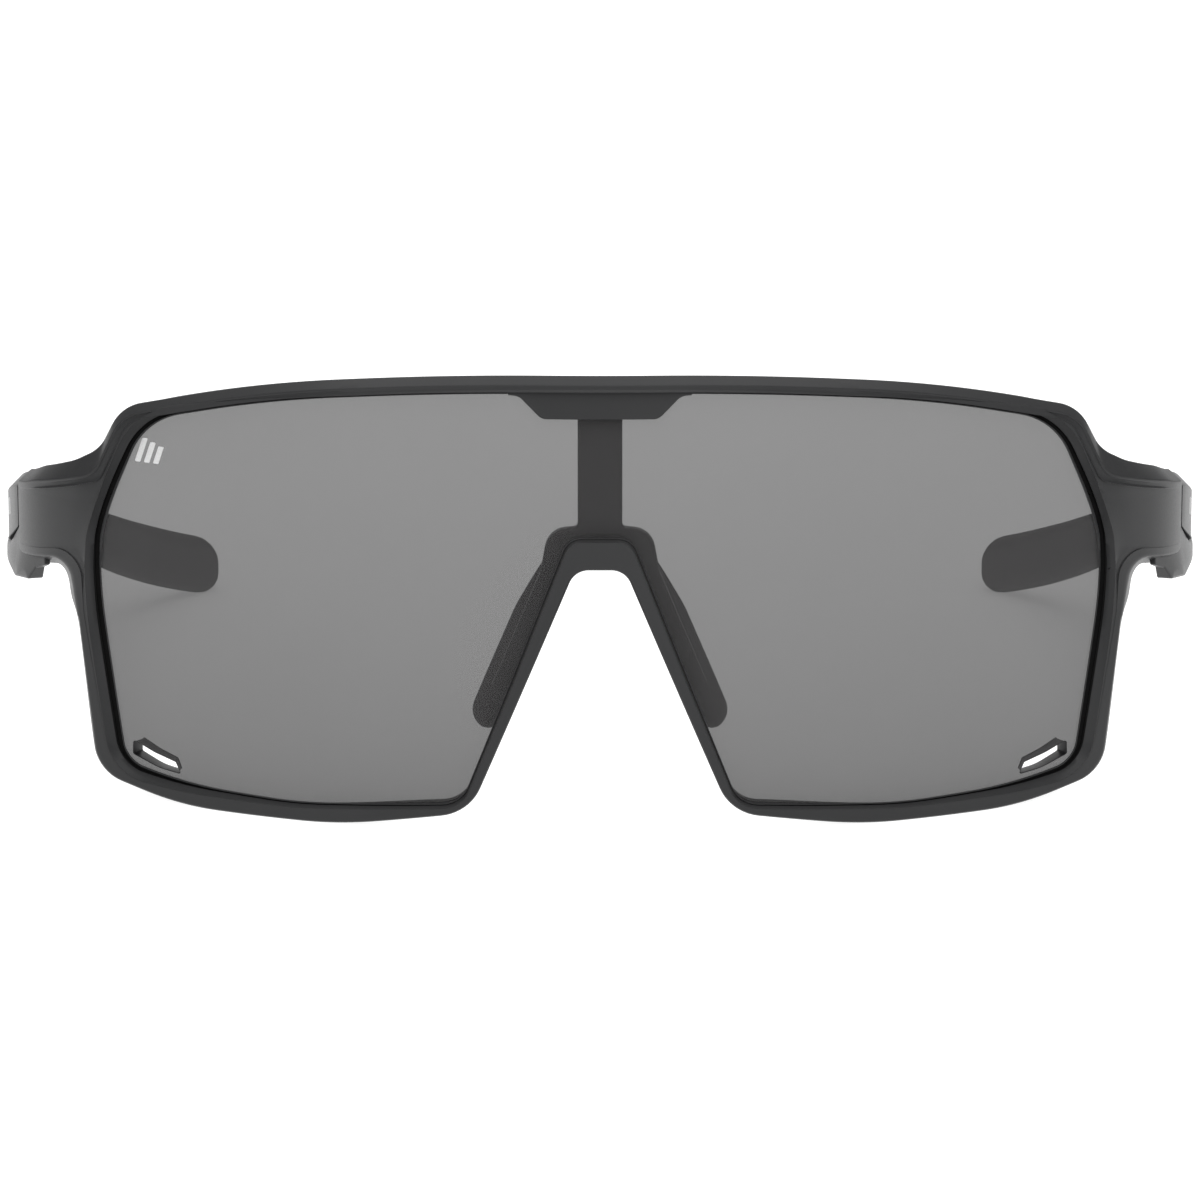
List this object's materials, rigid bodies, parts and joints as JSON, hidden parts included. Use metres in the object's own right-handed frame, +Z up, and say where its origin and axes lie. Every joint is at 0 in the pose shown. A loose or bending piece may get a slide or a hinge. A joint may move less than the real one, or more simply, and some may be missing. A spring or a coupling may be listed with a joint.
{
  "type": "wraparound sport sunglasses",
  "caption": "Wraparound sport sunglasses with a one-piece tinted shield lens in a full black rim, soft nose pads and two folding temples with rubber tips.",
  "frame": {"origin": "on the surface that the glasses stand on, under the middle of their box with the temples open", "axes": "+Z up, from the rest flats to the brow bar; the lens faces -Y and the temples run back along +Y; the wearer's left is +X"},
  "size_m": [0.1512, 0.1589, 0.0541],
  "materials": {
    "frame_plastic": "fine matte moulded nylon, near black",
    "tinted_lens": "smoke grey polycarbonate, polished, neutral tint",
    "soft_rubber": "matte soft-touch rubber, near black",
    "hinge_steel": "satin stainless steel",
    "nut_brass": "turned brass",
    "nylon": "natural nylon"
  },
  "bodies": {
    "front": {"front_frame": "frame_plastic", "shield_lens": "tinted_lens", "brow_clip": "frame_plastic", "nose_carrier": "frame_plastic", "nose_pad_left": "soft_rubber", "nose_pad_right": "soft_rubber", "hinge_front_leaf_left": "hinge_steel", "hinge_screw_left": "hinge_steel", "hinge_nut_left": "nut_brass", "hinge_washers_left": "nylon", "hinge_front_leaf_right": "hinge_steel", "hinge_screw_right": "hinge_steel", "hinge_nut_right": "nut_brass", "hinge_washers_right": "nylon"},
    "left_temple": {"temple_left": "frame_plastic", "tip_grip_left": "soft_rubber", "hinge_temple_leaf_left": "hinge_steel"},
    "right_temple": {"temple_right": "frame_plastic", "tip_grip_right": "soft_rubber", "hinge_temple_leaf_right": "hinge_steel"}
  },
  "joints": [
    {"name": "left_fold", "type": "hinge", "parent": "front", "child": "left_temple", "pos_m": [0.0668, -0.0348, 0.031], "axis": [0, 0, 1], "range_deg": [0, 91]},
    {"name": "right_fold", "type": "hinge", "parent": "front", "child": "right_temple", "pos_m": [-0.0668, -0.0348, 0.031], "axis": [0, 0, -1], "range_deg": [0, 83]}
  ]
}
